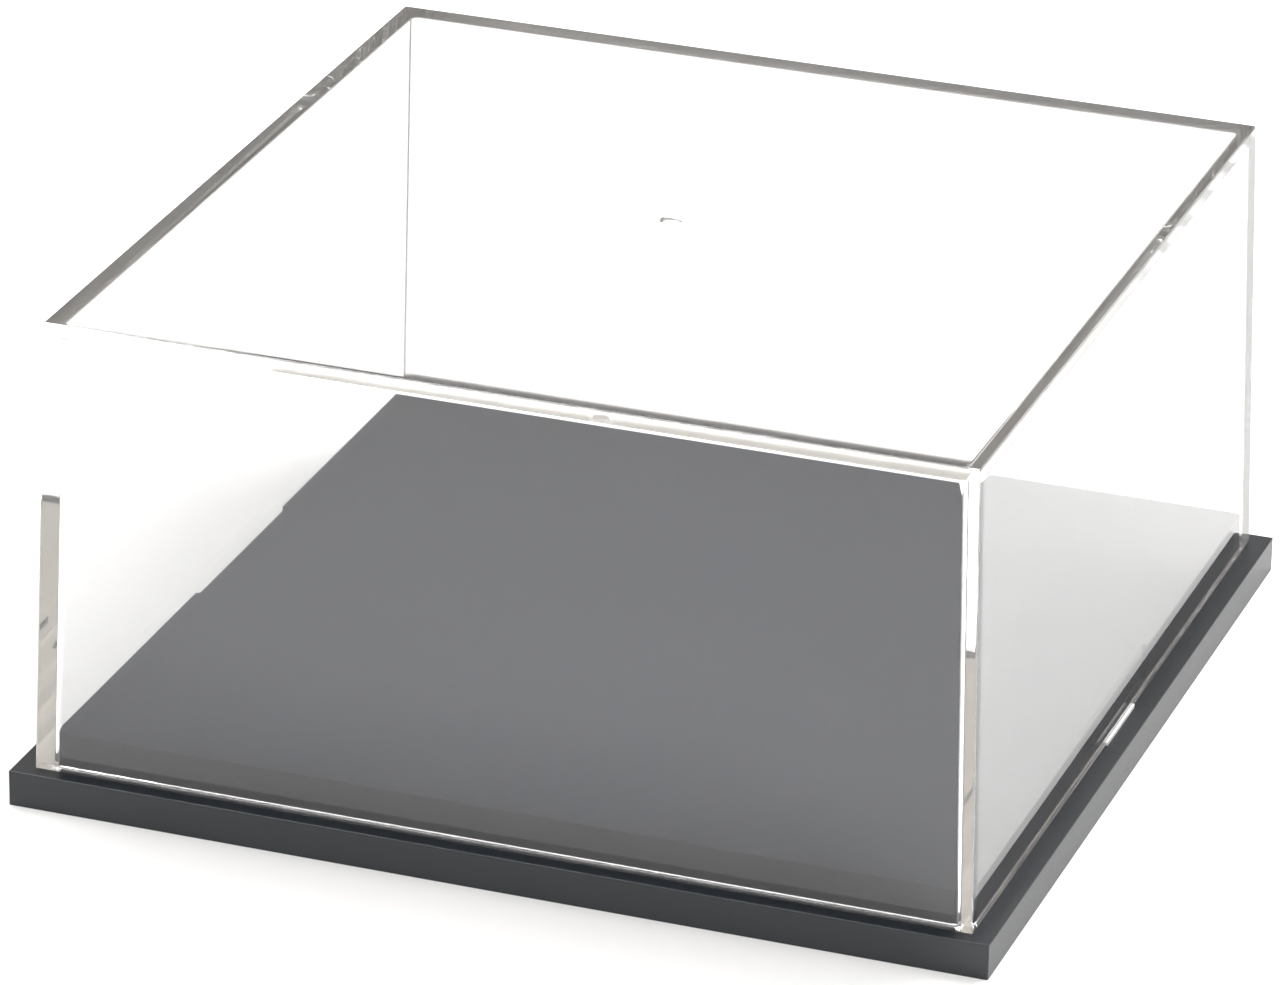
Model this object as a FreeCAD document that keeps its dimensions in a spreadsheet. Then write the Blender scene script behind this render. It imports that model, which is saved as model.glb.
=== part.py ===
import FreeCAD, Part
import os
import Sketcher

# A two-piece display case: a one-piece clear cover that stands over a low black base.
# The origin is the centre of the base's underside, +X runs to the right, -Y to the front and +Z up.

# Driving dimensions in millimetres, the draft in degrees.
SIZES = [
    # The clear cover, measured outside at its foot.
    ("cover_width", 191.5),
    ("cover_depth", 191.5),
    ("cover_height", 93.5),
    ("cover_wall", 3.0),
    ("cover_top", 3.5),
    ("cover_draft", 1.5),
    ("cover_edge_round", 0.3),
    ("cover_corner_round", 1.8),
    ("cover_ceiling_round", 0.5),
    # The bevel inside the foot, which leads the cover over the plinth.
    ("bevel_width", 0.7),
    ("bevel_height", 0.4),
    # The nail lip at mid-length of each side wall's foot.
    ("lip_length", 19.0),
    ("lip_reach", 0.5),
    ("lip_height", 0.7),
    ("lip_end_round", 0.4),
    # The round dimple that the mould's gate leaves in the top.
    ("gate_diameter", 4.6),
    ("gate_depth", 0.6),
    ("gate_floor_round", 0.55),
    # The base: a low rim all round, and a raised plinth that the cover fits over.
    ("side_margin", 4.25),
    ("front_margin", 3.25),
    ("rim_height", 7.3),
    ("plinth_height", 7.4),
    ("fit_gap", 0.5),
    ("base_wall", 2.2),
    ("base_edge_round", 0.25),
    # The shallow recess in each side of the plinth, opposite the nail lip.
    ("recess_length", 46.0),
    ("recess_depth", 1.1),
    # The crossed ribs under the plinth, which end above the surface the base stands on.
    ("rib_thickness", 1.6),
    ("rib_lift", 1.0),
]

# Two places count as the same when they differ by less than this.
SAME_PLACE = 0.01

doc = FreeCAD.newDocument("display_case")
sheet = doc.addObject("Spreadsheet::Sheet", "Sizes")
for row, (alias, value) in enumerate(SIZES, start=1):
    sheet.set("A%d" % row, alias)
    sheet.set("B%d" % row, str(value))
    sheet.setAlias("B%d" % row, alias)
doc.recompute()

# Places that several features share, as expressions of the sheet's sizes.
RIM_WIDTH = "Sizes.cover_width + 2 * Sizes.side_margin"
RIM_DEPTH = "Sizes.cover_depth + 2 * Sizes.front_margin"
PLINTH_WIDTH = "Sizes.cover_width - 2 * Sizes.cover_wall - 2 * Sizes.fit_gap"
PLINTH_DEPTH = "Sizes.cover_depth - 2 * Sizes.cover_wall - 2 * Sizes.fit_gap"
PLINTH_SIDE = "Sizes.cover_width / 2 - Sizes.cover_wall - Sizes.fit_gap"
PLINTH_TOP = "Sizes.rim_height + Sizes.plinth_height"
PLINTH_CORNER = "Sizes.cover_corner_round - Sizes.fit_gap"
COVER_TOP = "Sizes.rim_height + Sizes.cover_height"
TABLE = "0 mm"


def size(alias):
    """The value of one driving dimension."""
    return float(sheet.get(alias))


def same(place, other):
    """Whether two places on one axis are the same."""
    return abs(place - other) < SAME_PLACE


def origin_plane(body, role):
    """One of a body's own origin planes."""
    return next(plane for plane in body.Origin.OriginFeatures if plane.Role == role)


def level_sketch(body, name, level):
    """An empty sketch parallel to the body's XY plane, at a height given as an expression."""
    sketch = body.newObject("Sketcher::SketchObject", name)
    sketch.AttachmentSupport = [(origin_plane(body, "XY_Plane"), "")]
    sketch.MapMode = "FlatFace"
    sketch.setExpression("AttachmentOffset.Base.z", level)
    return sketch


def draw_rectangle(sketch):
    """Draws four joined lines, level and upright: front, right, back and left."""
    corners = [(1, -1), (2, -1), (2, 1), (1, 1)]
    points = [FreeCAD.Vector(x, y, 0) for x, y in corners]
    for start, end in zip(points, points[1:] + points[:1]):
        sketch.addGeometry(Part.LineSegment(start, end), False)
    for side in range(4):
        following = (side + 1) % 4
        sketch.addConstraint(Sketcher.Constraint("Coincident", side, 2, following, 1))
        direction = "Horizontal" if side % 2 == 0 else "Vertical"
        sketch.addConstraint(Sketcher.Constraint(direction, side))


def drive(sketch, kind, name, expression, *points):
    """Adds one named distance between two points and ties it to an expression."""
    index = sketch.addConstraint(Sketcher.Constraint(kind, *points, 1.0))
    sketch.renameConstraint(index, name)
    sketch.setExpression("Constraints." + name, expression)


def centred_rectangle(body, name, level, width, depth):
    """A sketch of one rectangle centred on the Z axis."""
    sketch = level_sketch(body, name, level)
    draw_rectangle(sketch)
    sketch.addConstraint(Sketcher.Constraint("Symmetric", 0, 1, 2, 1, -1, 1))
    drive(sketch, "DistanceX", "width", width, 0, 1, 0, 2)
    drive(sketch, "DistanceY", "depth", depth, 1, 1, 1, 2)
    return sketch


def side_rectangle(body, name, level, start, width, depth):
    """A sketch of one rectangle that begins at x = start and is centred on the X axis."""
    sketch = level_sketch(body, name, level)
    draw_rectangle(sketch)
    drive(sketch, "DistanceX", "start", start, -1, 1, 0, 1)
    drive(sketch, "DistanceY", "front", "(" + depth + ") / 2", 0, 1, -1, 1)
    drive(sketch, "DistanceX", "width", width, 0, 1, 0, 2)
    drive(sketch, "DistanceY", "depth", depth, 1, 1, 1, 2)
    return sketch


def centred_circle(body, name, level, diameter):
    """A sketch of one circle centred on the Z axis."""
    sketch = level_sketch(body, name, level)
    sketch.addGeometry(Part.Circle(FreeCAD.Vector(), FreeCAD.Vector(0, 0, 1), 1.0), False)
    sketch.addConstraint(Sketcher.Constraint("Coincident", 0, 3, -1, 1))
    drive(sketch, "Diameter", "diameter", diameter, 0)
    return sketch


def add_pad(body, name, sketch, length):
    """Adds material upwards from a sketch."""
    feature = body.newObject("PartDesign::Pad", name)
    feature.Profile = sketch
    feature.setExpression("Length", length)
    doc.recompute()
    return feature


def add_pocket(body, name, sketch, length, upwards=True):
    """Cuts material from a sketch's plane, and makes sure that the cut goes into the solid."""
    volume_before = body.Shape.Volume
    feature = body.newObject("PartDesign::Pocket", name)
    feature.Profile = sketch
    feature.Reversed = upwards
    feature.setExpression("Length", length)
    doc.recompute()
    assert feature.Shape.Volume < volume_before - SAME_PLACE, name + " cuts nothing"
    return feature


def add_mirrored(body, name, feature):
    """Repeats one feature on the other side of the YZ plane."""
    mirror = body.newObject("PartDesign::Mirrored", name)
    mirror.Originals = [feature]
    mirror.MirrorPlane = (origin_plane(body, "YZ_Plane"), [""])
    body.Tip = mirror
    doc.recompute()
    return mirror


def add_draft(body, name, faces, neutral_face, reverse):
    """Leans upright faces by the cover's draft, about the edge where they meet a neutral face."""
    last = body.Tip
    draft = body.newObject("PartDesign::Draft", name)
    draft.Base = (last, faces)
    draft.NeutralPlane = (last, neutral_face)
    draft.Reversed = reverse
    draft.setExpression("Angle", "Sizes.cover_draft")
    doc.recompute()
    return draft


def add_fillet(body, name, edges, radius):
    """Rounds edges of the body as it stands."""
    last = body.Tip
    fillet = body.newObject("PartDesign::Fillet", name)
    fillet.Base = (last, edges)
    fillet.setExpression("Radius", radius)
    doc.recompute()
    return fillet


def add_bevel(body, name, edges, width, height):
    """Cuts a sloped face along edges of the foot: width is level, height upright."""
    last = body.Tip
    bevel = body.newObject("PartDesign::Chamfer", name)
    bevel.Base = (last, edges)
    bevel.ChamferType = "Two distances"
    bevel.setExpression("Size", width)
    bevel.setExpression("Size2", height)
    doc.recompute()
    return bevel


def find_edges(body, test):
    """The names of the edges whose middle and box pass a test."""
    edges = enumerate(body.Shape.Edges, start=1)
    return ["Edge%d" % number for number, edge in edges if test(edge.CenterOfMass, edge.BoundBox)]


def find_faces(body, test):
    """The names of the flat faces whose middle and outward direction pass a test."""
    faces = enumerate(body.Shape.Faces, start=1)
    return ["Face%d" % number for number, face in faces if test(face.CenterOfMass, face.normalAt(0, 0))]


def upright(normal):
    """Whether a face's outward direction is nearly level, as on a wall."""
    return abs(normal.z) < 0.5


def faces_centre(middle, normal):
    """Whether a wall's face looks towards the Z axis, as on the inside of a box."""
    return middle.x * normal.x + middle.y * normal.y < 0


def make_cover():
    """The clear cover: a five-sided box, open below, with drafted walls."""
    body = doc.addObject("PartDesign::Body", "clear_cover")
    foot = size("rim_height")
    top = foot + size("cover_height")
    ceiling = top - size("cover_top")
    outer_side = size("cover_width") / 2
    inner_side = outer_side - size("cover_wall") + SAME_PLACE
    inner_front = size("cover_depth") / 2 - size("cover_wall") + SAME_PLACE

    def inside(middle):
        """Whether a place lies within the inner outline of the foot."""
        return abs(middle.x) < inner_side and abs(middle.y) < inner_front

    outline = centred_rectangle(
        body, "foot_outline", "Sizes.rim_height", "Sizes.cover_width", "Sizes.cover_depth"
    )
    add_pad(body, "cover_block", outline, "Sizes.cover_height")
    walls = find_faces(body, lambda middle, normal: upright(normal))
    underside = find_faces(body, lambda middle, normal: same(middle.z, foot))
    add_draft(body, "outer_draft", walls, underside, False)
    edges = find_edges(body, lambda middle, box: box.ZMax > foot + SAME_PLACE)
    add_fillet(body, "outer_rounds", edges, "Sizes.cover_edge_round")

    hollow = centred_rectangle(
        body,
        "hollow_outline",
        "Sizes.rim_height",
        "Sizes.cover_width - 2 * Sizes.cover_wall",
        "Sizes.cover_depth - 2 * Sizes.cover_wall",
    )
    add_pocket(body, "hollow", hollow, "Sizes.cover_height - Sizes.cover_top")
    walls = find_faces(body, lambda middle, normal: upright(normal) and faces_centre(middle, normal))
    underside = find_faces(body, lambda middle, normal: same(middle.z, foot))
    add_draft(body, "inner_draft", walls, underside, True)
    edges = find_edges(
        body, lambda middle, box: same(box.ZMax, ceiling) and same(box.ZMin, foot) and inside(middle)
    )
    add_fillet(body, "inner_corner_rounds", edges, "Sizes.cover_corner_round")
    edges = find_edges(body, lambda middle, box: same(box.ZMin, ceiling) and inside(middle))
    add_fillet(body, "ceiling_rounds", edges, "Sizes.cover_ceiling_round")
    edges = find_edges(body, lambda middle, box: same(box.ZMax, foot) and inside(middle))
    add_bevel(body, "foot_bevel", edges, "Sizes.bevel_width", "Sizes.bevel_height")

    lip = side_rectangle(
        body,
        "lip_outline",
        "Sizes.rim_height",
        "(Sizes.cover_width - Sizes.cover_wall) / 2",
        "Sizes.cover_wall / 2 + Sizes.lip_reach",
        "Sizes.lip_length",
    )
    add_mirrored(body, "both_lips", add_pad(body, "nail_lip", lip, "Sizes.lip_height"))
    lip_end = outer_side + size("lip_reach")
    edges = find_edges(
        body, lambda middle, box: same(abs(middle.x), lip_end) and box.ZLength > SAME_PLACE
    )
    add_fillet(body, "lip_end_rounds", edges, "Sizes.lip_end_round")

    dimple = centred_circle(body, "gate_outline", COVER_TOP, "Sizes.gate_diameter")
    add_pocket(body, "gate_dimple", dimple, "Sizes.gate_depth", upwards=False)
    floor = top - size("gate_depth")
    edges = find_edges(body, lambda middle, box: same(box.ZMin, floor) and same(box.ZMax, floor))
    add_fillet(body, "gate_floor_rounds", edges, "Sizes.gate_floor_round")
    return body


def make_base():
    """The base: a thin shell, open below, with a low rim, a raised plinth and crossed ribs."""
    body = doc.addObject("PartDesign::Body", "base")
    rim_top = size("rim_height")
    plinth_top = rim_top + size("plinth_height")
    plinth_side = size("cover_width") / 2 - size("cover_wall") - size("fit_gap")
    plinth_front = size("cover_depth") / 2 - size("cover_wall") - size("fit_gap")
    rim_side = size("cover_width") / 2 + size("side_margin")
    rim_front = size("cover_depth") / 2 + size("front_margin")

    def on_rim_edge(middle, box):
        """Whether an edge lies on the outer top edge of the rim."""
        beside_plinth = abs(middle.x) > plinth_side + SAME_PLACE
        before_plinth = abs(middle.y) > plinth_front + SAME_PLACE
        level_edge = same(box.ZMin, rim_top) and same(box.ZMax, rim_top)
        return level_edge and (beside_plinth or before_plinth)

    rim = centred_rectangle(body, "rim_outline", TABLE, RIM_WIDTH, RIM_DEPTH)
    add_pad(body, "rim", rim, "Sizes.rim_height")
    plinth = centred_rectangle(body, "plinth_outline", "Sizes.rim_height", PLINTH_WIDTH, PLINTH_DEPTH)
    add_pad(body, "plinth", plinth, "Sizes.plinth_height")

    edges = find_edges(
        body, lambda middle, box: same(abs(middle.x), rim_side) and same(abs(middle.y), rim_front)
    )
    add_fillet(body, "rim_corner_rounds", edges, "Sizes.base_edge_round")
    edges = find_edges(
        body, lambda middle, box: same(abs(middle.x), plinth_side) and same(abs(middle.y), plinth_front)
    )
    add_fillet(body, "plinth_corner_rounds", edges, PLINTH_CORNER)

    rim_hollow = centred_rectangle(
        body,
        "rim_hollow_outline",
        TABLE,
        RIM_WIDTH + " - 2 * Sizes.base_wall",
        RIM_DEPTH + " - 2 * Sizes.base_wall",
    )
    add_pocket(body, "rim_hollow", rim_hollow, "Sizes.rim_height - Sizes.base_wall")
    plinth_hollow = centred_rectangle(
        body,
        "plinth_hollow_outline",
        TABLE,
        PLINTH_WIDTH + " - 2 * Sizes.base_wall",
        PLINTH_DEPTH + " - 2 * Sizes.base_wall",
    )
    add_pocket(body, "plinth_hollow", plinth_hollow, PLINTH_TOP + " - Sizes.base_wall")

    for name, width, depth in (
        ("rib_across", PLINTH_WIDTH + " - Sizes.base_wall", "Sizes.rib_thickness"),
        ("rib_along", "Sizes.rib_thickness", PLINTH_DEPTH + " - Sizes.base_wall"),
    ):
        rib = centred_rectangle(body, name + "_outline", "Sizes.rib_lift", width, depth)
        add_pad(body, name, rib, PLINTH_TOP + " - Sizes.base_wall / 2 - Sizes.rib_lift")

    backing = side_rectangle(
        body,
        "recess_backing_outline",
        "Sizes.rim_height - Sizes.base_wall",
        PLINTH_SIDE + " - Sizes.recess_depth - Sizes.base_wall",
        "Sizes.recess_depth + Sizes.base_wall / 2",
        "Sizes.recess_length + 2 * Sizes.base_wall",
    )
    backing_height = "Sizes.plinth_height + Sizes.base_wall / 2"
    add_mirrored(body, "both_recess_backings", add_pad(body, "recess_backing", backing, backing_height))
    recess = side_rectangle(
        body,
        "recess_outline",
        "Sizes.rim_height",
        PLINTH_SIDE + " - Sizes.recess_depth",
        "Sizes.recess_depth + Sizes.fit_gap / 2",
        "Sizes.recess_length",
    )
    add_mirrored(body, "both_recesses", add_pocket(body, "recess", recess, "Sizes.plinth_height"))

    edges = find_edges(body, lambda middle, box: same(box.ZMin, plinth_top) or on_rim_edge(middle, box))
    add_fillet(body, "top_edge_rounds", edges, "Sizes.base_edge_round")
    return body


def write_parts(bodies):
    """Checks every object of the document, then writes one STEP file for each body."""
    doc.recompute()
    for item in doc.Objects:
        assert not {"Invalid", "Error"} & set(item.State), item.Name + " failed"
    for body in bodies:
        assert not body.Shape.isNull() and body.Shape.isValid(), body.Label + " has no valid shape"
        assert len(body.Shape.Solids) == 1, body.Label + " is not one solid"
    os.makedirs("parts", exist_ok=True)
    for body in bodies:
        body.Shape.exportStep("parts/" + body.Label + ".step")
        box = body.Shape.BoundBox
        print(
            "%s: %.1f x %.1f x %.1f mm from z = %.1f, %.0f cubic millimetres"
            % (body.Label, box.XLength, box.YLength, box.ZLength, box.ZMin, body.Shape.Volume)
        )


write_parts([make_cover(), make_base()])
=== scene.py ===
# %% [markdown]
# # A clear display case on a black base
# The object is a low square case for showing a collectible. It comes apart into two moulded pieces: a
# clear cover with four walls and a top, and a black base with a raised plinth that the cover fits over.
# This file dresses the engineering model of that case. The engineering model gives every outer size, so
# the first step loads it, and each later size is either read from it or is a small detail of the real
# moulding.

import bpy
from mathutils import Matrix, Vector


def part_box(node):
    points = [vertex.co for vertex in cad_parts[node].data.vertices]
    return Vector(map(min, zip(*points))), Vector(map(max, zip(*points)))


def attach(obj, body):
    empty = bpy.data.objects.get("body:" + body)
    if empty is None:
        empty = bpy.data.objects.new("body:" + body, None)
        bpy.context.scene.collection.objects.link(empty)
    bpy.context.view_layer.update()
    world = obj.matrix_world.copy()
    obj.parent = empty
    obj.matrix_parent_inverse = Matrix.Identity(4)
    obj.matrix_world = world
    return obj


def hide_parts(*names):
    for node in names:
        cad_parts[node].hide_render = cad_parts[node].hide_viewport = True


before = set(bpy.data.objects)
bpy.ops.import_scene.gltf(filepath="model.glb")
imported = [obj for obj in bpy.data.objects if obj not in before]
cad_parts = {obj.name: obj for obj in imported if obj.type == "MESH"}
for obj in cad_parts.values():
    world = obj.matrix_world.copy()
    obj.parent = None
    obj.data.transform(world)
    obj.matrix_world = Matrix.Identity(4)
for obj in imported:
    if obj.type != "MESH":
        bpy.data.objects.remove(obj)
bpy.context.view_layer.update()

# %% [markdown]
# ## Units and colours
# Blender works in metres, and the details of a moulded case are given in millimetres, so one constant
# turns the one into the other. Colours are written the way that a picture program shows them, as sRGB hex
# values. Shaders want linear light instead, and one function makes that step, so that no colour is
# converted twice.

# %% Units and colours
import math

import bmesh
import bpy
from mathutils import Matrix, Vector

MM = 0.001


def linear(hex_colour):
    """An sRGB hex colour as the four linear numbers that a shader takes."""
    channels = [int(hex_colour[place:place + 2], 16) / 255 for place in (1, 3, 5)]
    low = [value / 12.92 for value in channels]
    high = [((value + 0.055) / 1.055) ** 2.4 for value in channels]
    return [a if value <= 0.04045 else b for value, a, b in zip(channels, low, high)] + [1.0]


print("mid grey #808080 is", round(linear("#808080")[0], 3), "in linear light")

# %% [markdown]
# ## One helper for every node tree
# Materials, the studio's light and the modelling tree below are all made of nodes. Each node needs the
# same three things: its kind, its settings and what its sockets hold. A socket holds either a plain value
# or the output of another node, and one function can tell the two apart. A node that mixes two colours
# has several sockets of the same name, one for each kind of value, so its colour sockets are found by
# their place. So are the two sockets of a node that mixes shaders.

# %% Add a node
MIX_FIRST = 6
MIX_SECOND = 7
MIX_RESULT = 2
FIRST_SHADER = 1
SECOND_SHADER = 2


def add_node(tree, kind, settings=None, sockets=None):
    """Adds one node. Settings are its properties. Sockets are its inputs: values, or outputs to link from."""
    node = tree.nodes.new(kind)
    for name, value in (settings or {}).items():
        setattr(node, name, value)
    for name, value in (sockets or {}).items():
        if isinstance(value, bpy.types.NodeSocket):
            tree.links.new(value, node.inputs[name])
        else:
            node.inputs[name].default_value = value
    return node


print("a mix node takes its colours at", MIX_FIRST, "and", MIX_SECOND)

# %% [markdown]
# ## The camera
# The picture is taken with a long lens from the front right and above, so that the edges of the case run
# almost parallel. The place and the angles come from fitting a camera to the corners of the case.

# %% Camera
CAMERA_PLACE = Vector((0.4469, -1.2716, 0.6441))
CAMERA_AZIMUTH = math.radians(19.59)
CAMERA_ELEVATION = math.radians(24.07)
CAMERA_ROLL = math.radians(0.89)
LENS_MM = 207.5
SENSOR_MM = 36.0

level = math.cos(CAMERA_ELEVATION)
backwards = Vector((
    math.sin(CAMERA_AZIMUTH) * level,
    -math.cos(CAMERA_AZIMUTH) * level,
    math.sin(CAMERA_ELEVATION),
))
rightwards = Vector((0, 0, 1)).cross(backwards).normalized()
upwards = backwards.cross(rightwards)
unrolled = Matrix((rightwards, upwards, backwards)).transposed()
camera = bpy.data.objects.new("long_lens_camera", bpy.data.cameras.new("long_lens_camera"))
camera.data.lens = LENS_MM
camera.data.sensor_width = SENSOR_MM
camera.rotation_euler = (unrolled @ Matrix.Rotation(CAMERA_ROLL, 3, "Z")).to_euler()
camera.location = CAMERA_PLACE
scene = bpy.context.scene
scene.collection.objects.link(camera)
scene.camera = camera
print("camera looks along", [round(-value, 3) for value in backwards])

# %% [markdown]
# ## How light is counted
# Light that enters a clear wall at its edge can run inside it for its whole length and turn back many
# times on the way. Each turn counts as a bounce, and a wall as long as this one has dozens. With a low
# limit the edges go black, so the limits are high here. The picture keeps its colours plain, with no film
# look on top.

# %% Light paths
MOST_BOUNCES = 96

scene.view_settings.view_transform = "Standard"
scene.cycles.max_bounces = MOST_BOUNCES
scene.cycles.transmission_bounces = MOST_BOUNCES
scene.cycles.glossy_bounces = MOST_BOUNCES
print("light may turn", MOST_BOUNCES, "times")

# %% [markdown]
# ## The studio floor
# The case stands on a wide sheet of white paper. Paper isn't even: its fibres make it a little darker and
# lighter over a few centimetres. A noise texture between two near whites gives that, so faintly that it
# only stops the floor from looking like a computer's white.

# %% Studio floor
FLOOR_SIZE = 8.0
PAPER_LIGHT = "#f3f3f1"
PAPER_DARK = "#efefec"
PAPER_PATCH_MM = 35.0
PAPER_DETAIL = 6.0
PAPER_ROUGHNESS = 0.9
PAPER_SHINE = 0.2

paper = bpy.data.materials.new("matt_white_paper")
paper.use_nodes = True
paper_tree = paper.node_tree
paper_place = add_node(paper_tree, "ShaderNodeTexCoord")
paper_patches = add_node(
    paper_tree,
    "ShaderNodeTexNoise",
    sockets={
        "Vector": paper_place.outputs["Object"],
        "Scale": 1 / (PAPER_PATCH_MM * MM),
        "Detail": PAPER_DETAIL,
    },
)
paper_colour = add_node(
    paper_tree,
    "ShaderNodeMix",
    settings={"data_type": "RGBA"},
    sockets={
        "Factor": paper_patches.outputs["Fac"],
        MIX_FIRST: linear(PAPER_DARK),
        MIX_SECOND: linear(PAPER_LIGHT),
    },
)
paper_shader = paper_tree.nodes["Principled BSDF"]
paper_tree.links.new(paper_colour.outputs[MIX_RESULT], paper_shader.inputs["Base Color"])
paper_shader.inputs["Roughness"].default_value = PAPER_ROUGHNESS
paper_shader.inputs["Specular IOR Level"].default_value = PAPER_SHINE

half_floor = FLOOR_SIZE / 2
floor_corners = [(x * half_floor, y * half_floor, 0) for x, y in ((-1, -1), (1, -1), (1, 1), (-1, 1))]
floor_mesh = bpy.data.meshes.new("studio_floor")
floor_mesh.from_pydata(floor_corners, [], [(0, 1, 2, 3)])
floor_mesh.materials.append(paper)
floor = bpy.data.objects.new("studio_floor", floor_mesh)
scene.collection.objects.link(floor)
print("floor:", FLOOR_SIZE, "m square")

# %% [markdown]
# ## The surroundings
# Clear plastic has no colour of its own to show: it shows what is around it. Light that has run along a
# wall leaves it upwards at the back, and there it meets the walls of the room, which are beige and not
# lit. Higher up there is brighter white. So the surroundings are two plain lights, mixed by how high the
# eye looks: on the unit sphere the height is the direction's third number.

# %% Surroundings
ROOM_COLOUR = "#cdc6bf"
ROOM_STRENGTH = 0.9
OVERHEAD_COLOUR = "#fafbff"
OVERHEAD_STRENGTH = 2.2
ROOM_TOP = 0.6
OVERHEAD_BOTTOM = 0.9

world = bpy.data.worlds.new("soft_studio")
world.use_nodes = True
scene.world = world
world_tree = world.node_tree
direction = add_node(world_tree, "ShaderNodeTexCoord")
direction_parts = add_node(
    world_tree, "ShaderNodeSeparateXYZ", sockets={"Vector": direction.outputs["Generated"]}
)
how_high = add_node(
    world_tree,
    "ShaderNodeMapRange",
    settings={"interpolation_type": "SMOOTHSTEP"},
    sockets={
        "Value": direction_parts.outputs["Z"],
        "From Min": ROOM_TOP,
        "From Max": OVERHEAD_BOTTOM,
    },
)
room = world_tree.nodes["Background"]
room.inputs["Color"].default_value = linear(ROOM_COLOUR)
room.inputs["Strength"].default_value = ROOM_STRENGTH
overhead = add_node(
    world_tree,
    "ShaderNodeBackground",
    sockets={"Color": linear(OVERHEAD_COLOUR), "Strength": OVERHEAD_STRENGTH},
)
surroundings = add_node(
    world_tree,
    "ShaderNodeMixShader",
    sockets={
        "Fac": how_high.outputs["Result"],
        FIRST_SHADER: room.outputs["Background"],
        SECOND_SHADER: overhead.outputs["Background"],
    },
)
world_output = world_tree.nodes["World Output"]
world_tree.links.new(surroundings.outputs["Shader"], world_output.inputs["Surface"])
print("surroundings: beige room up to", ROOM_TOP, "and white overhead from", OVERHEAD_BOTTOM)

# %% [markdown]
# ## The lamps
# Two soft lamps hang high, the strong one behind the case on its right and the weak one on its left. The
# strong lamp lights the floor beside and behind the case more than the floor in front, and that is what
# makes the case readable: the base's right side mirrors bright floor and looks pale, and its front
# mirrors dimmer floor and looks black. The weak lamp fills the shadow that the strong one casts. Both
# hang high and are small for a reason: light that leaves the clear walls at the back goes up at 24
# degrees, and a lamp down there would shine in every edge.

# %% Lamps
LAMP_HEIGHT = 0.9
LAMP_SIZE = 0.5
STRONG_PLACE = Vector((0.35, 0.45, LAMP_HEIGHT))
STRONG_AIM = Vector((0.12, 0.1, 0))
STRONG_POWER = 9.0
WEAK_PLACE = Vector((-0.45, 0, LAMP_HEIGHT))
WEAK_AIM = Vector((-0.12, 0, 0))
WEAK_POWER = 3.0

for name, place, aim, power in (
    ("softbox_high_back_right", STRONG_PLACE, STRONG_AIM, STRONG_POWER),
    ("softbox_high_left", WEAK_PLACE, WEAK_AIM, WEAK_POWER),
):
    lamp = bpy.data.lights.new(name, "AREA")
    lamp.shape = "SQUARE"
    lamp.size = LAMP_SIZE
    lamp.energy = power
    softbox = bpy.data.objects.new(name, lamp)
    softbox.location = place
    softbox.rotation_euler = (aim - place).to_track_quat("-Z", "Y").to_euler()
    scene.collection.objects.link(softbox)
    print("lamp:", name, power, "W")

# %% [markdown]
# ## Clear plastic
# The cover is moulded against polished steel, from a clear plastic of the acrylic kind. Plain acrylic
# bends light with an index of 1.49. Seen from this angle, such an edge is lit from above down to a
# certain height and dark below it, and on this case that height fits an index of 1.57, as acrylic that is
# blended with styrene has. The eye reads the cover by its edges, where light that entered elsewhere comes
# out, so it is a real refracting solid and not a see-through colour. Three faint things make it plastic
# and not perfect glass. The skin of a moulding ripples by a few thousandths of a millimetre as it cools,
# which shows only in the long light paths. At each skin one or two hundredths of the light are scattered
# as haze, which lifts the dark edges. And the plastic takes more blue than red from light that runs far
# inside it, so the edges turn cream while the panels stay clear.

# %% Clear plastic
CLEAR_INDEX = 1.57
CLEAR_ROUGHNESS = 0.02
CLEARNESS = 0.985
RIPPLE_MM = 18.0
RIPPLE_HEIGHT_MM = 0.004
RIPPLE_DETAIL = 1.0
CLEAR_COLOUR = "#ffffff"
PATH_COLOUR = "#fcf9e1"
PATH_DENSITY = 0.7

clear_plastic = bpy.data.materials.new("polished_clear_styrene_acrylic")
clear_plastic.use_nodes = True
clear_tree = clear_plastic.node_tree
clear_place = add_node(clear_tree, "ShaderNodeTexCoord")
ripple = add_node(
    clear_tree,
    "ShaderNodeTexNoise",
    sockets={
        "Vector": clear_place.outputs["Object"],
        "Scale": 1 / (RIPPLE_MM * MM),
        "Detail": RIPPLE_DETAIL,
    },
)
ripple_bump = add_node(
    clear_tree,
    "ShaderNodeBump",
    sockets={"Height": ripple.outputs["Fac"], "Distance": RIPPLE_HEIGHT_MM * MM, "Strength": 1.0},
)
clear_shader = clear_tree.nodes["Principled BSDF"]
clear_shader.inputs["Base Color"].default_value = linear(CLEAR_COLOUR)
clear_shader.inputs["Roughness"].default_value = CLEAR_ROUGHNESS
clear_shader.inputs["IOR"].default_value = CLEAR_INDEX
clear_shader.inputs["Transmission Weight"].default_value = CLEARNESS
clear_tree.links.new(ripple_bump.outputs["Normal"], clear_shader.inputs["Normal"])
long_paths = add_node(
    clear_tree,
    "ShaderNodeVolumeAbsorption",
    sockets={"Color": linear(PATH_COLOUR), "Density": PATH_DENSITY},
)
clear_output = clear_tree.nodes["Material Output"]
clear_tree.links.new(long_paths.outputs["Volume"], clear_output.inputs["Volume"])
print("clear plastic: index", CLEAR_INDEX)

# %% [markdown]
# ## Frosted lip
# The same plastic has a frosted skin on the nail lips, so that a finger finds them. A rough skin scatters
# the light that would pass through, so the lip shines white. It could be a white of its own, but it is
# the same plastic with another skin, so it starts as a copy and keeps the index and the tint.

# %% Frosted lip
LIP_ROUGHNESS = 0.5
LIP_CLEARNESS = 0.2

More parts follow.
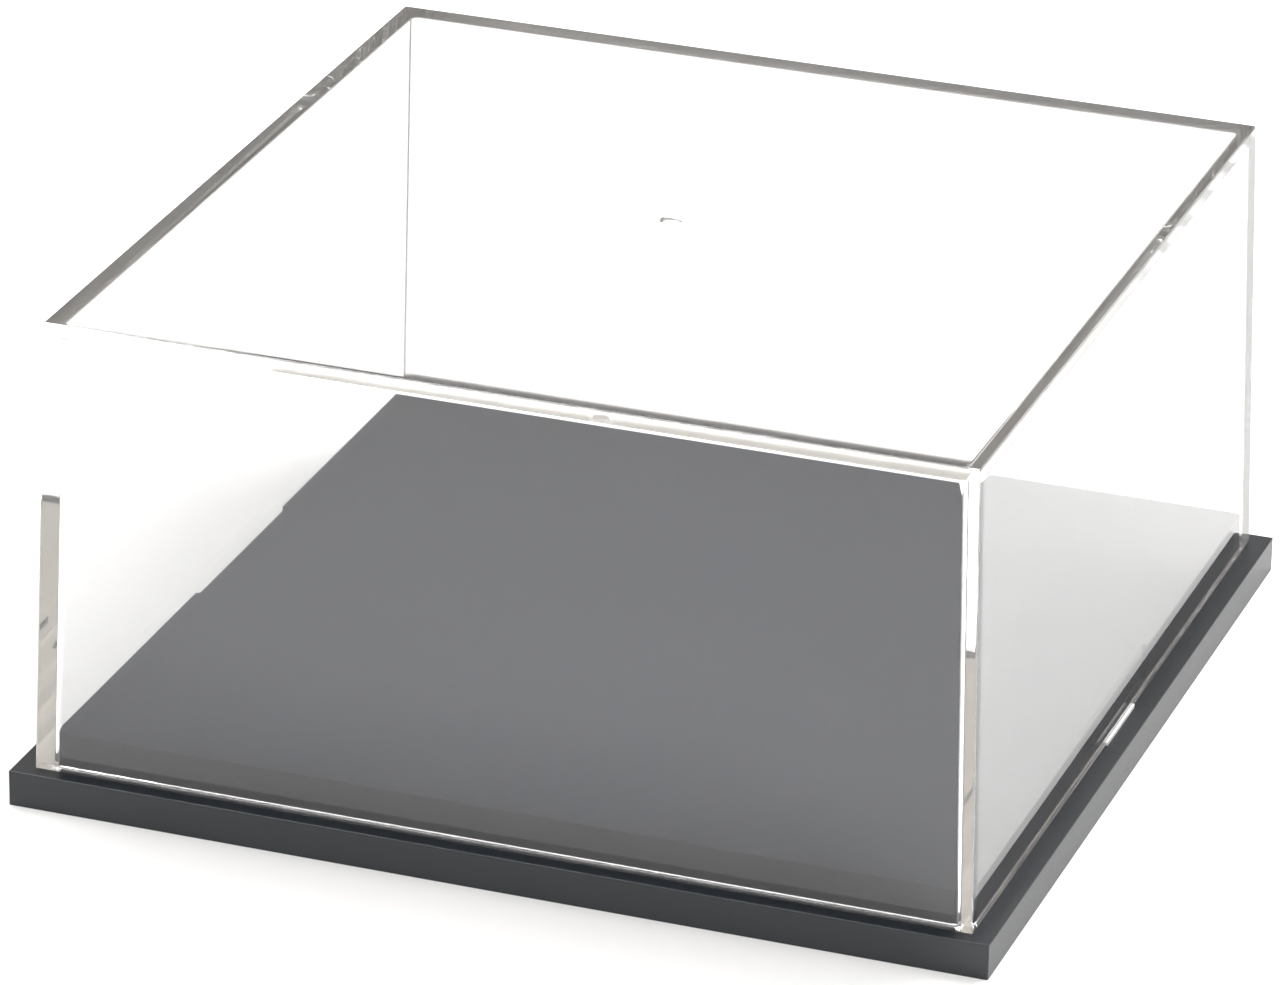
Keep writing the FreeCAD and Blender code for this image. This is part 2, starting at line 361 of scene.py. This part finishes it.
frosted_plastic = clear_plastic.copy()
frosted_plastic.name = "frosted_acrylic_of_the_lip"
frosted_shader = frosted_plastic.node_tree.nodes["Principled BSDF"]
frosted_shader.inputs["Roughness"].default_value = LIP_ROUGHNESS
frosted_shader.inputs["Transmission Weight"].default_value = LIP_CLEARNESS
print("frosted lip: roughness", LIP_ROUGHNESS)

# %% [markdown]
# ## Black plastic
# The base is black moulded plastic with two finishes from the same mould: satin on the rim, and a fine
# even grain on the plinth, etched into the steel so that no scratch shows under what is displayed. Both
# come from one recipe with its own numbers. A fine noise lifts the skin by about a hundredth of a
# millimetre or less, and the same noise makes the low places a little duller and the high places a little
# shinier, as on real etched plastic. A second noise, centimetres wide, changes the colour by a trace, the
# way the melt cools unevenly.

# %% Black plastic
PATCH_MM = 22.0
PATCH_DETAIL = 2.0
GRAIN_DETAIL = 3.0
GRAIN_ROUGHNESS = 0.6
GRAIN_LOW = 0.3
GRAIN_HIGH = 0.7


def black_plastic(name, low_colour, high_colour, shine, dull, shiny, grain_mm, grain_height_mm):
    """One finish of the black moulded plastic, with a grain of a real size."""
    material = bpy.data.materials.new(name)
    material.use_nodes = True
    tree = material.node_tree
    shader = tree.nodes["Principled BSDF"]
    place = add_node(tree, "ShaderNodeTexCoord")
    grain = add_node(
        tree,
        "ShaderNodeTexNoise",
        sockets={
            "Vector": place.outputs["Object"],
            "Scale": 1 / (grain_mm * MM),
            "Detail": GRAIN_DETAIL,
            "Roughness": GRAIN_ROUGHNESS,
        },
    )
    bump = add_node(
        tree,
        "ShaderNodeBump",
        sockets={"Height": grain.outputs["Fac"], "Distance": grain_height_mm * MM, "Strength": 1.0},
    )
    gloss = add_node(
        tree,
        "ShaderNodeMapRange",
        sockets={
            "Value": grain.outputs["Fac"],
            "From Min": GRAIN_LOW,
            "From Max": GRAIN_HIGH,
            "To Min": dull,
            "To Max": shiny,
        },
    )
    patches = add_node(
        tree,
        "ShaderNodeTexNoise",
        sockets={
            "Vector": place.outputs["Object"],
            "Scale": 1 / (PATCH_MM * MM),
            "Detail": PATCH_DETAIL,
        },
    )
    colour = add_node(
        tree,
        "ShaderNodeMix",
        settings={"data_type": "RGBA"},
        sockets={
            "Factor": patches.outputs["Fac"],
            MIX_FIRST: linear(low_colour),
            MIX_SECOND: linear(high_colour),
        },
    )
    tree.links.new(colour.outputs[MIX_RESULT], shader.inputs["Base Color"])
    tree.links.new(gloss.outputs["Result"], shader.inputs["Roughness"])
    tree.links.new(bump.outputs["Normal"], shader.inputs["Normal"])
    shader.inputs["Specular IOR Level"].default_value = shine
    return material


print("the grain runs from", GRAIN_LOW, "to", GRAIN_HIGH)

# %% [markdown]
# ## Satin rim, grained plinth
# The recipe is used twice. The shine says how much of the surroundings the skin mirrors: the satin rim
# shows the pale floor in its side, and the grain swallows most of it, so that the plinth stays dark, with
# the cool tint of slate.

# %% Satin rim, grained plinth
satin_black = black_plastic(
    "satin_moulded_black_plastic",
    low_colour="#191f24",
    high_colour="#20262c",
    shine=0.6,
    dull=0.34,
    shiny=0.28,
    grain_mm=0.6,
    grain_height_mm=0.004,
)
grained_black = black_plastic(
    "fine_grained_black_plastic",
    low_colour="#0f1423",
    high_colour="#131828",
    shine=0.15,
    dull=0.75,
    shiny=0.65,
    grain_mm=0.4,
    grain_height_mm=0.012,
)
print("black plastic:", satin_black.name, "and", grained_black.name)

# %% [markdown]
# ## Rings
# Both pieces are square trays, and a square tray follows one rule: at every height its outline is a
# rounded square, and only its size and its corner change. So each piece is a list of rings, and the faces
# join each ring to the next. That keeps the walls exactly flat, which matters for clear plastic, where
# the least curve bends what is behind it. A corner as large as half the width turns the same ring into a
# circle, which the mark of the mould's gate needs.

# %% Rings
CORNER_STEPS = 12
EDGE_STEPS = 6


def ring(width, depth, inset, height, corner):
    """The points of one rounded rectangle, anticlockwise from above, inset from a width and a depth."""
    points = []
    for quarter, (across, along) in enumerate(((1, 1), (-1, 1), (-1, -1), (1, -1))):
        for step in range(CORNER_STEPS + 1):
            turn = math.radians(90) * (quarter + step / CORNER_STEPS)
            x = across * (width / 2 - inset - corner) + corner * math.cos(turn)
            y = along * (depth / 2 - inset - corner) + corner * math.sin(turn)
            points.append((x, y, height))
    return points


def join_rings(name, rings):
    """A closed mesh that runs through the rings in order and is capped at both ends."""
    shape = bmesh.new()
    rows = [[shape.verts.new(point) for point in points] for points in rings]
    for row, following in zip(rows, rows[1:]):
        for place in range(len(row)):
            neighbour = (place + 1) % len(row)
            shape.faces.new((row[place], row[neighbour], following[neighbour], following[place]))
    shape.faces.new(reversed(rows[0]))
    shape.faces.new(rows[-1])
    mesh = bpy.data.meshes.new(name)
    shape.to_mesh(mesh)
    shape.free()
    piece = bpy.data.objects.new(name, mesh)
    scene.collection.objects.link(piece)
    return piece


def arc(centre_inset, centre_height, radius, start, end):
    """Insets and heights along a round edge, as turns in degrees from straight outwards."""
    points = []
    for step in range(EDGE_STEPS + 1):
        turn = math.radians(start + (end - start) * step / EDGE_STEPS)
        points.append((centre_inset - radius * math.cos(turn), centre_height + radius * math.sin(turn)))
    return points


print("a ring has", len(ring(1, 1, 0, 0, 0.1)), "points")

# %% [markdown]
# ## The cover
# On the real object the cover is one moulding. Its walls lean in by a degree and a half, so that it
# leaves the mould. The steel core inside has round upright corners and the outside is nearly sharp, which
# is why the eye sees one thin line outside and a soft band inside each corner. A small bevel inside the
# foot leads the cover over the plinth. The chain of rings starts at the ceiling inside, runs down the
# inner walls, round the foot and up the outside, over the top and into the gate's dimple at its centre,
# which is left where the plastic flowed into the mould. A film of air stays between the foot and the rim:
# two surfaces at the same place would confuse the light.

# %% Cover shell
WALL = 3.0 * MM
TOP_WALL = 3.5 * MM
DRAFT = math.tan(math.radians(1.5))
SHARP_ROUND = 0.45 * MM
CORNER_ROUND = 1.8 * MM
CEILING_ROUND = 0.5 * MM
BEVEL_WIDTH = 0.7 * MM
BEVEL_HEIGHT = 0.4 * MM
AIR_FILM = 0.05 * MM
LEAST_CORNER = 0.05 * MM
GATE_RADIUS = 2.3 * MM
GATE_DEPTH = 0.6 * MM
GATE_FLOOR_ROUND = 0.55 * MM

cover_low, cover_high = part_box("clear_cover")
foot = cover_low.z + AIR_FILM
top = cover_high.z
cover_size = cover_high.y - cover_low.y
ceiling = top - TOP_WALL


def cover_ring(inset, height, corner):
    """One ring of the cover, which is as deep as it is wide."""
    return ring(cover_size, cover_size, inset, height, corner)


inner_lean = WALL + (ceiling - CEILING_ROUND - foot) * DRAFT
outer_lean = (top - SHARP_ROUND - foot) * DRAFT
cover_rings = []
ceiling_arc = arc(inner_lean + CEILING_ROUND, ceiling - CEILING_ROUND, CEILING_ROUND, 90, 0)
for inset, height in ceiling_arc:
    cover_rings.append(cover_ring(inset, height, CORNER_ROUND - (inset - inner_lean)))
cover_rings.append(cover_ring(WALL + BEVEL_HEIGHT * DRAFT, foot + BEVEL_HEIGHT, CORNER_ROUND))
cover_rings.append(cover_ring(WALL - BEVEL_WIDTH, foot, CORNER_ROUND + BEVEL_WIDTH))
cover_rings.append(cover_ring(0, foot, SHARP_ROUND + LEAST_CORNER))
edge_arc = arc(outer_lean + SHARP_ROUND, top - SHARP_ROUND, SHARP_ROUND, 0, 90)
for inset, height in edge_arc:
    cover_rings.append(cover_ring(inset, height, SHARP_ROUND + LEAST_CORNER - (inset - outer_lean)))
gate_floor = top - GATE_DEPTH
gate_arc = arc(GATE_FLOOR_ROUND, gate_floor + GATE_FLOOR_ROUND, GATE_FLOOR_ROUND, 0, -90)
for inset, height in [(0, top)] + gate_arc:
    gate_corner = GATE_RADIUS - inset - LEAST_CORNER
    cover_rings.append(ring(2 * GATE_RADIUS, 2 * GATE_RADIUS, inset, height, gate_corner))
cover = join_rings("display_cover", cover_rings)
print("cover:", len(cover_rings), "rings,", len(cover.data.polygons), "faces")

# %% [markdown]
# ## The base
# The base is a thin shell, open below, of one even wall, as moulded plastic has to be. Its outline steps
# in from the rim to the plinth, and the hollow underneath follows it. It could be a block with a pocket
# cut out, but one chain of rings gives the outside and the hollow together. The plinth leaves a narrow
# gap inside the cover's walls.

# %% Base shell
BASE_WALL = 2.2 * MM
FIT_GAP = 0.5 * MM
BASE_EDGE_ROUND = 0.25 * MM
HOLLOW_CORNER = 0.3 * MM

base_low, base_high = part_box("base")
rim_width = base_high.x - base_low.x
rim_depth = base_high.y - base_low.y
plinth_top = base_high.z
rim_top = cover_low.z
plinth_size = cover_size - 2 * (WALL + FIT_GAP)
plinth_corner = CORNER_ROUND - FIT_GAP


def rim_ring(inset, height, corner):
    """One ring of the base's rim."""
    return ring(rim_width, rim_depth, inset, height, corner)


def plinth_ring(inset, height, corner):
    """One ring of the plinth, which is as deep as it is wide."""
    return ring(plinth_size, plinth_size, inset, height, corner)


base_rings = [
    plinth_ring(BASE_WALL, plinth_top - BASE_WALL, HOLLOW_CORNER),
    plinth_ring(BASE_WALL, rim_top - BASE_WALL, HOLLOW_CORNER),
    rim_ring(BASE_WALL, rim_top - BASE_WALL, HOLLOW_CORNER),
    rim_ring(BASE_WALL, 0, HOLLOW_CORNER),
]
rim_arc = arc(BASE_EDGE_ROUND, rim_top - BASE_EDGE_ROUND, BASE_EDGE_ROUND, 0, 90)
plinth_arc = arc(BASE_EDGE_ROUND, plinth_top - BASE_EDGE_ROUND, BASE_EDGE_ROUND, 0, 90)
for inset, height in [(0, 0)] + rim_arc:
    base_rings.append(rim_ring(inset, height, BASE_EDGE_ROUND + LEAST_CORNER - inset))
for inset, height in [(0, rim_top)] + plinth_arc:
    base_rings.append(plinth_ring(inset, height, plinth_corner - inset))
base = join_rings("display_base", base_rings)
print("base:", len(base_rings), "rings,", len(base.data.polygons), "faces")

# %% [markdown]
# ## Blocks round the middle
# What is left repeats: two nail lips, two recesses with the wall behind them, and two crossed ribs. Each
# is a block with round upright corners that stands at some reach from the middle and comes back after a
# turn. Each could be modelled by hand, but one modelling tree makes them all, and a changed size then
# changes every copy. The tree's named inputs are the sizes that a toolmaker would ask for, and they come
# first.

# %% Inputs of the modelling tree
blocks_tree = bpy.data.node_groups.new("blocks_round_the_middle", "GeometryNodeTree")
for socket_name, socket_kind in (
    ("Shell", "NodeSocketGeometry"),
    ("Length", "NodeSocketFloat"),
    ("Width", "NodeSocketFloat"),
    ("Height", "NodeSocketFloat"),
    ("Corner", "NodeSocketFloat"),
    ("Reach", "NodeSocketFloat"),
    ("Low", "NodeSocketFloat"),
    ("Count", "NodeSocketInt"),
    ("Turn", "NodeSocketFloat"),
    ("Cut", "NodeSocketBool"),
    ("Finish", "NodeSocketMaterial"),
):
    blocks_tree.interface.new_socket(socket_name, in_out="INPUT", socket_type=socket_kind)
blocks_tree.interface.new_socket("Piece", in_out="OUTPUT", socket_type="NodeSocketGeometry")
given = blocks_tree.nodes.new("NodeGroupInput").outputs
print("the tree has", len(blocks_tree.interface.items_tree), "named sockets")

# %% [markdown]
# ## One block
# A block begins as its outline, seen from above. The corners are rounded, the outline is filled and
# raised, and the filled face, turned over, closes it below. The doubled points along the lower edge are
# merged, because only a closed block can be joined to a shell or cut from it. Then the block is set at
# its reach.

# %% One block
SAME_POINT = 0.001 * MM
BLOCK_CORNER_STEPS = 6

outline = add_node(
    blocks_tree,
    "GeometryNodeCurvePrimitiveQuadrilateral",
    sockets={"Width": given["Length"], "Height": given["Width"]},
)
rounded = add_node(
    blocks_tree,
    "GeometryNodeFilletCurve",
    settings={"mode": "POLY"},
    sockets={
        "Curve": outline.outputs["Curve"],
        "Count": BLOCK_CORNER_STEPS,
        "Radius": given["Corner"],
        "Limit Radius": True,
    },
)
filled = add_node(
    blocks_tree,
    "GeometryNodeFillCurve",
    settings={"mode": "NGONS"},
    sockets={"Curve": rounded.outputs["Curve"]},
)
raised = add_node(
    blocks_tree,
    "GeometryNodeExtrudeMesh",
    sockets={"Mesh": filled.outputs["Mesh"], "Offset Scale": given["Height"], "Individual": False},
)
underside = add_node(blocks_tree, "GeometryNodeFlipFaces", sockets={"Mesh": filled.outputs["Mesh"]})
closed = add_node(
    blocks_tree, "GeometryNodeJoinGeometry", sockets={"Geometry": raised.outputs["Mesh"]}
)
blocks_tree.links.new(underside.outputs["Mesh"], closed.inputs["Geometry"])
block = add_node(
    blocks_tree,
    "GeometryNodeMergeByDistance",
    sockets={"Geometry": closed.outputs["Geometry"], "Distance": SAME_POINT},
)
place_of_block = add_node(
    blocks_tree, "ShaderNodeCombineXYZ", sockets={"X": given["Reach"], "Z": given["Low"]}
)
placed = add_node(
    blocks_tree,
    "GeometryNodeTransform",
    sockets={"Geometry": block.outputs["Geometry"], "Translation": place_of_block.outputs["Vector"]},
)
print("one block:", len(blocks_tree.nodes), "nodes")

# %% [markdown]
# ## Copies, joined or cut
# There is one point at the middle for each copy, and a point's number times the turn says how far its
# block is turned. The copies are made real, because only real faces can be joined or cut. A joined or cut
# shell is one solid like the moulding. Blocks that only lie in the wall would leave hidden faces, and
# clear plastic shows those. A switch picks between the two, and the last node gives the result its
# finish.

# %% Copies, joined or cut
number = add_node(blocks_tree, "GeometryNodeInputIndex")
turned = add_node(
    blocks_tree,
    "ShaderNodeMath",
    settings={"operation": "MULTIPLY"},
    sockets={0: number.outputs["Index"], 1: given["Turn"]},
)
rotation = add_node(blocks_tree, "ShaderNodeCombineXYZ", sockets={"Z": turned.outputs["Value"]})
middles = add_node(blocks_tree, "GeometryNodePoints", sockets={"Count": given["Count"]})
copies = add_node(
    blocks_tree,
    "GeometryNodeInstanceOnPoints",
    sockets={
        "Points": middles.outputs["Points"],
        "Instance": placed.outputs["Geometry"],
        "Rotation": rotation.outputs["Vector"],
    },
)
blocks = add_node(
    blocks_tree, "GeometryNodeRealizeInstances", sockets={"Geometry": copies.outputs["Instances"]}
)
joined = add_node(
    blocks_tree,
    "GeometryNodeMeshBoolean",
    settings={"operation": "UNION", "solver": "EXACT"},
    sockets={"Mesh 2": given["Shell"], "Self Intersection": True},
)
blocks_tree.links.new(blocks.outputs["Geometry"], joined.inputs["Mesh 2"])
cut = add_node(
    blocks_tree,
    "GeometryNodeMeshBoolean",
    settings={"operation": "DIFFERENCE", "solver": "EXACT"},
    sockets={"Mesh 1": given["Shell"], "Mesh 2": blocks.outputs["Geometry"]},
)
chosen = add_node(
    blocks_tree,
    "GeometryNodeSwitch",
    settings={"input_type": "GEOMETRY"},
    sockets={"Switch": given["Cut"], "False": joined.outputs["Mesh"], "True": cut.outputs["Mesh"]},
)
whole = add_node(
    blocks_tree, "GeometryNodeRealizeInstances", sockets={"Geometry": chosen.outputs["Output"]}
)
finished = add_node(
    blocks_tree,
    "GeometryNodeSetMaterial",
    sockets={"Geometry": whole.outputs["Geometry"], "Material": given["Finish"]},
)
add_node(blocks_tree, "NodeGroupOutput", sockets={"Piece": finished.outputs["Geometry"]})
print("modelling tree:", len(blocks_tree.nodes), "nodes")

# %% [markdown]
# ## From modifiers to a finished mesh
# The tree works as a modifier, and a finished piece is a plain mesh. So after each step the evaluated
# mesh takes the place of the old one, and the modifier goes away.

# %% Settle a piece
def settle(piece):
    """Makes what the modifiers show into the piece's own mesh, and removes them."""
    evaluated = piece.evaluated_get(bpy.context.evaluated_depsgraph_get())
    made = bpy.data.meshes.new_from_object(evaluated)
    piece.modifiers.clear()
    piece.data = made
    made.name = piece.name


def shape_with_blocks(piece, **inputs):
    """Joins blocks to a piece, or cuts them from it, with the modelling tree's named inputs."""
    modifier = piece.modifiers.new("blocks", "NODES")
    modifier.node_group = blocks_tree
    for item in blocks_tree.interface.items_tree:
        if item.name.lower() in inputs:
            modifier[item.identifier] = inputs[item.name.lower()]
    settle(piece)


print("the tree's inputs:", [item.name for item in blocks_tree.interface.items_tree])

# %% [markdown]
# ## Nail lips
# A finger has to lift the cover somewhere. At mid-length of the left and the right foot the wall has a
# lip, 19 mm long, that stands out by half a millimetre. It begins inside the wall, so that the two join
# without a seam. The faces that stand out beyond the wall get the frosted skin.

# %% Nail lips
LIP_LENGTH = 19.0 * MM
LIP_HEIGHT = 0.7 * MM
LIP_END_ROUND = 0.4 * MM

lip_end = cover_high.x
lip_start = cover_size / 2 - WALL / 2
shape_with_blocks(
    cover,
    length=lip_end - lip_start,
    width=LIP_LENGTH,
    height=LIP_HEIGHT,
    corner=LIP_END_ROUND,
    reach=(lip_end + lip_start) / 2,
    low=foot,
    count=2,
    turn=math.pi,
    cut=False,
    finish=clear_plastic,
)
cover.data.materials.append(frosted_plastic)
frosted_faces = 0
for face in cover.data.polygons:
    if abs(face.center.x) > cover_size / 2:
        face.material_index = 1
        frosted_faces += 1
print("cover with lips:", len(cover.data.polygons), "faces,", frosted_faces, "of them frosted")

# %% [markdown]
# ## Ribs and recesses
# A thin flat plinth would sag, so two crossed ribs run underneath from wall to wall. They end a
# millimetre above the table. In each side of the plinth there is a shallow recess behind the nail lip, so
# that a finger doesn't meet the plinth. The wall behind a recess keeps its thickness, so it goes in
# before the recess is cut.

# %% Ribs and recesses
RIB_THICKNESS = 1.6 * MM
RIB_LIFT = 1.0 * MM
RECESS_LENGTH = 46.0 * MM
RECESS_DEPTH = 1.1 * MM
HARD_CORNER = 0.05 * MM

plinth_side = plinth_size / 2
shape_with_blocks(
    base,
    length=plinth_size - BASE_WALL,
    width=RIB_THICKNESS,
    height=plinth_top - BASE_WALL / 2 - RIB_LIFT,
    corner=HARD_CORNER,
    reach=0.0,
    low=RIB_LIFT,
    count=2,
    turn=math.pi / 2,
    cut=False,
    finish=satin_black,
)
backing_start = plinth_side - RECESS_DEPTH - BASE_WALL
backing_end = plinth_side - BASE_WALL / 2
shape_with_blocks(
    base,
    length=backing_end - backing_start,
    width=RECESS_LENGTH + 2 * BASE_WALL,
    height=plinth_top - BASE_WALL / 2 - (rim_top - BASE_WALL),
    corner=HARD_CORNER,
    reach=(backing_end + backing_start) / 2,
    low=rim_top - BASE_WALL,
    count=2,
    turn=math.pi,
    cut=False,
    finish=satin_black,
)
recess_end = plinth_side + FIT_GAP / 2
shape_with_blocks(
    base,
    length=recess_end - plinth_side + RECESS_DEPTH,
    width=RECESS_LENGTH,
    height=plinth_top - rim_top + BASE_WALL,
    corner=HARD_CORNER,
    reach=(recess_end + plinth_side - RECESS_DEPTH) / 2,
    low=rim_top,
    count=2,
    turn=math.pi,
    cut=True,
    finish=satin_black,
)
print("base with ribs and recesses:", len(base.data.polygons), "faces")

# %% [markdown]
# ## Where the grain is
# The mould's grain covers the outside of the plinth, its top and its sides. A face belongs to it when it
# is above the rim and doesn't look down or inwards, as the faces of the hollow do.

# %% Grain on the plinth
LOOKS_UP = 0.5

base.data.materials.append(grained_black)
outside_from = plinth_side - RECESS_DEPTH - BASE_WALL / 2
grained_faces = 0
for face in base.data.polygons:
    middle = face.center
    outside = max(abs(middle.x), abs(middle.y)) > outside_from
    if middle.z > rim_top + SAME_POINT and (face.normal.z > LOOKS_UP or outside):
        face.material_index = 1
        grained_faces += 1
print("grained faces:", grained_faces)

# %% [markdown]
# ## Soft edges, flat walls
# The round edges are made of narrow facets. Smooth shading turns them into round edges for the eye, but
# it would also bend the light on the flat walls beside them. Weighted normals settle that: where a large
# and a narrow face meet, the large one keeps its own direction.

# %% Normals
SHARP_ANGLE = math.radians(40)

for piece in (cover, base):
    piece.data.shade_smooth()
    piece.data.set_sharp_from_angle(angle=SHARP_ANGLE)
    weighted = piece.modifiers.new("weighted_normals", "WEIGHTED_NORMAL")
    weighted.keep_sharp = True
    settle(piece)
    print(piece.name, "has materials", [material.name for material in piece.data.materials])

# %% [markdown]
# ## Riding on the bodies
# Each piece stands for one solid of the engineering model and moves with its body: the base stays, and
# the cover lifts off.

# %% Bodies
for piece, node, body, slot in (
    (cover, "clear_cover", "cover", "clear_plastic"),
    (base, "base", "base", "black_plastic"),
):
    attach(piece, body)
    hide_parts(node)
    print(piece.name, "rides on", body)
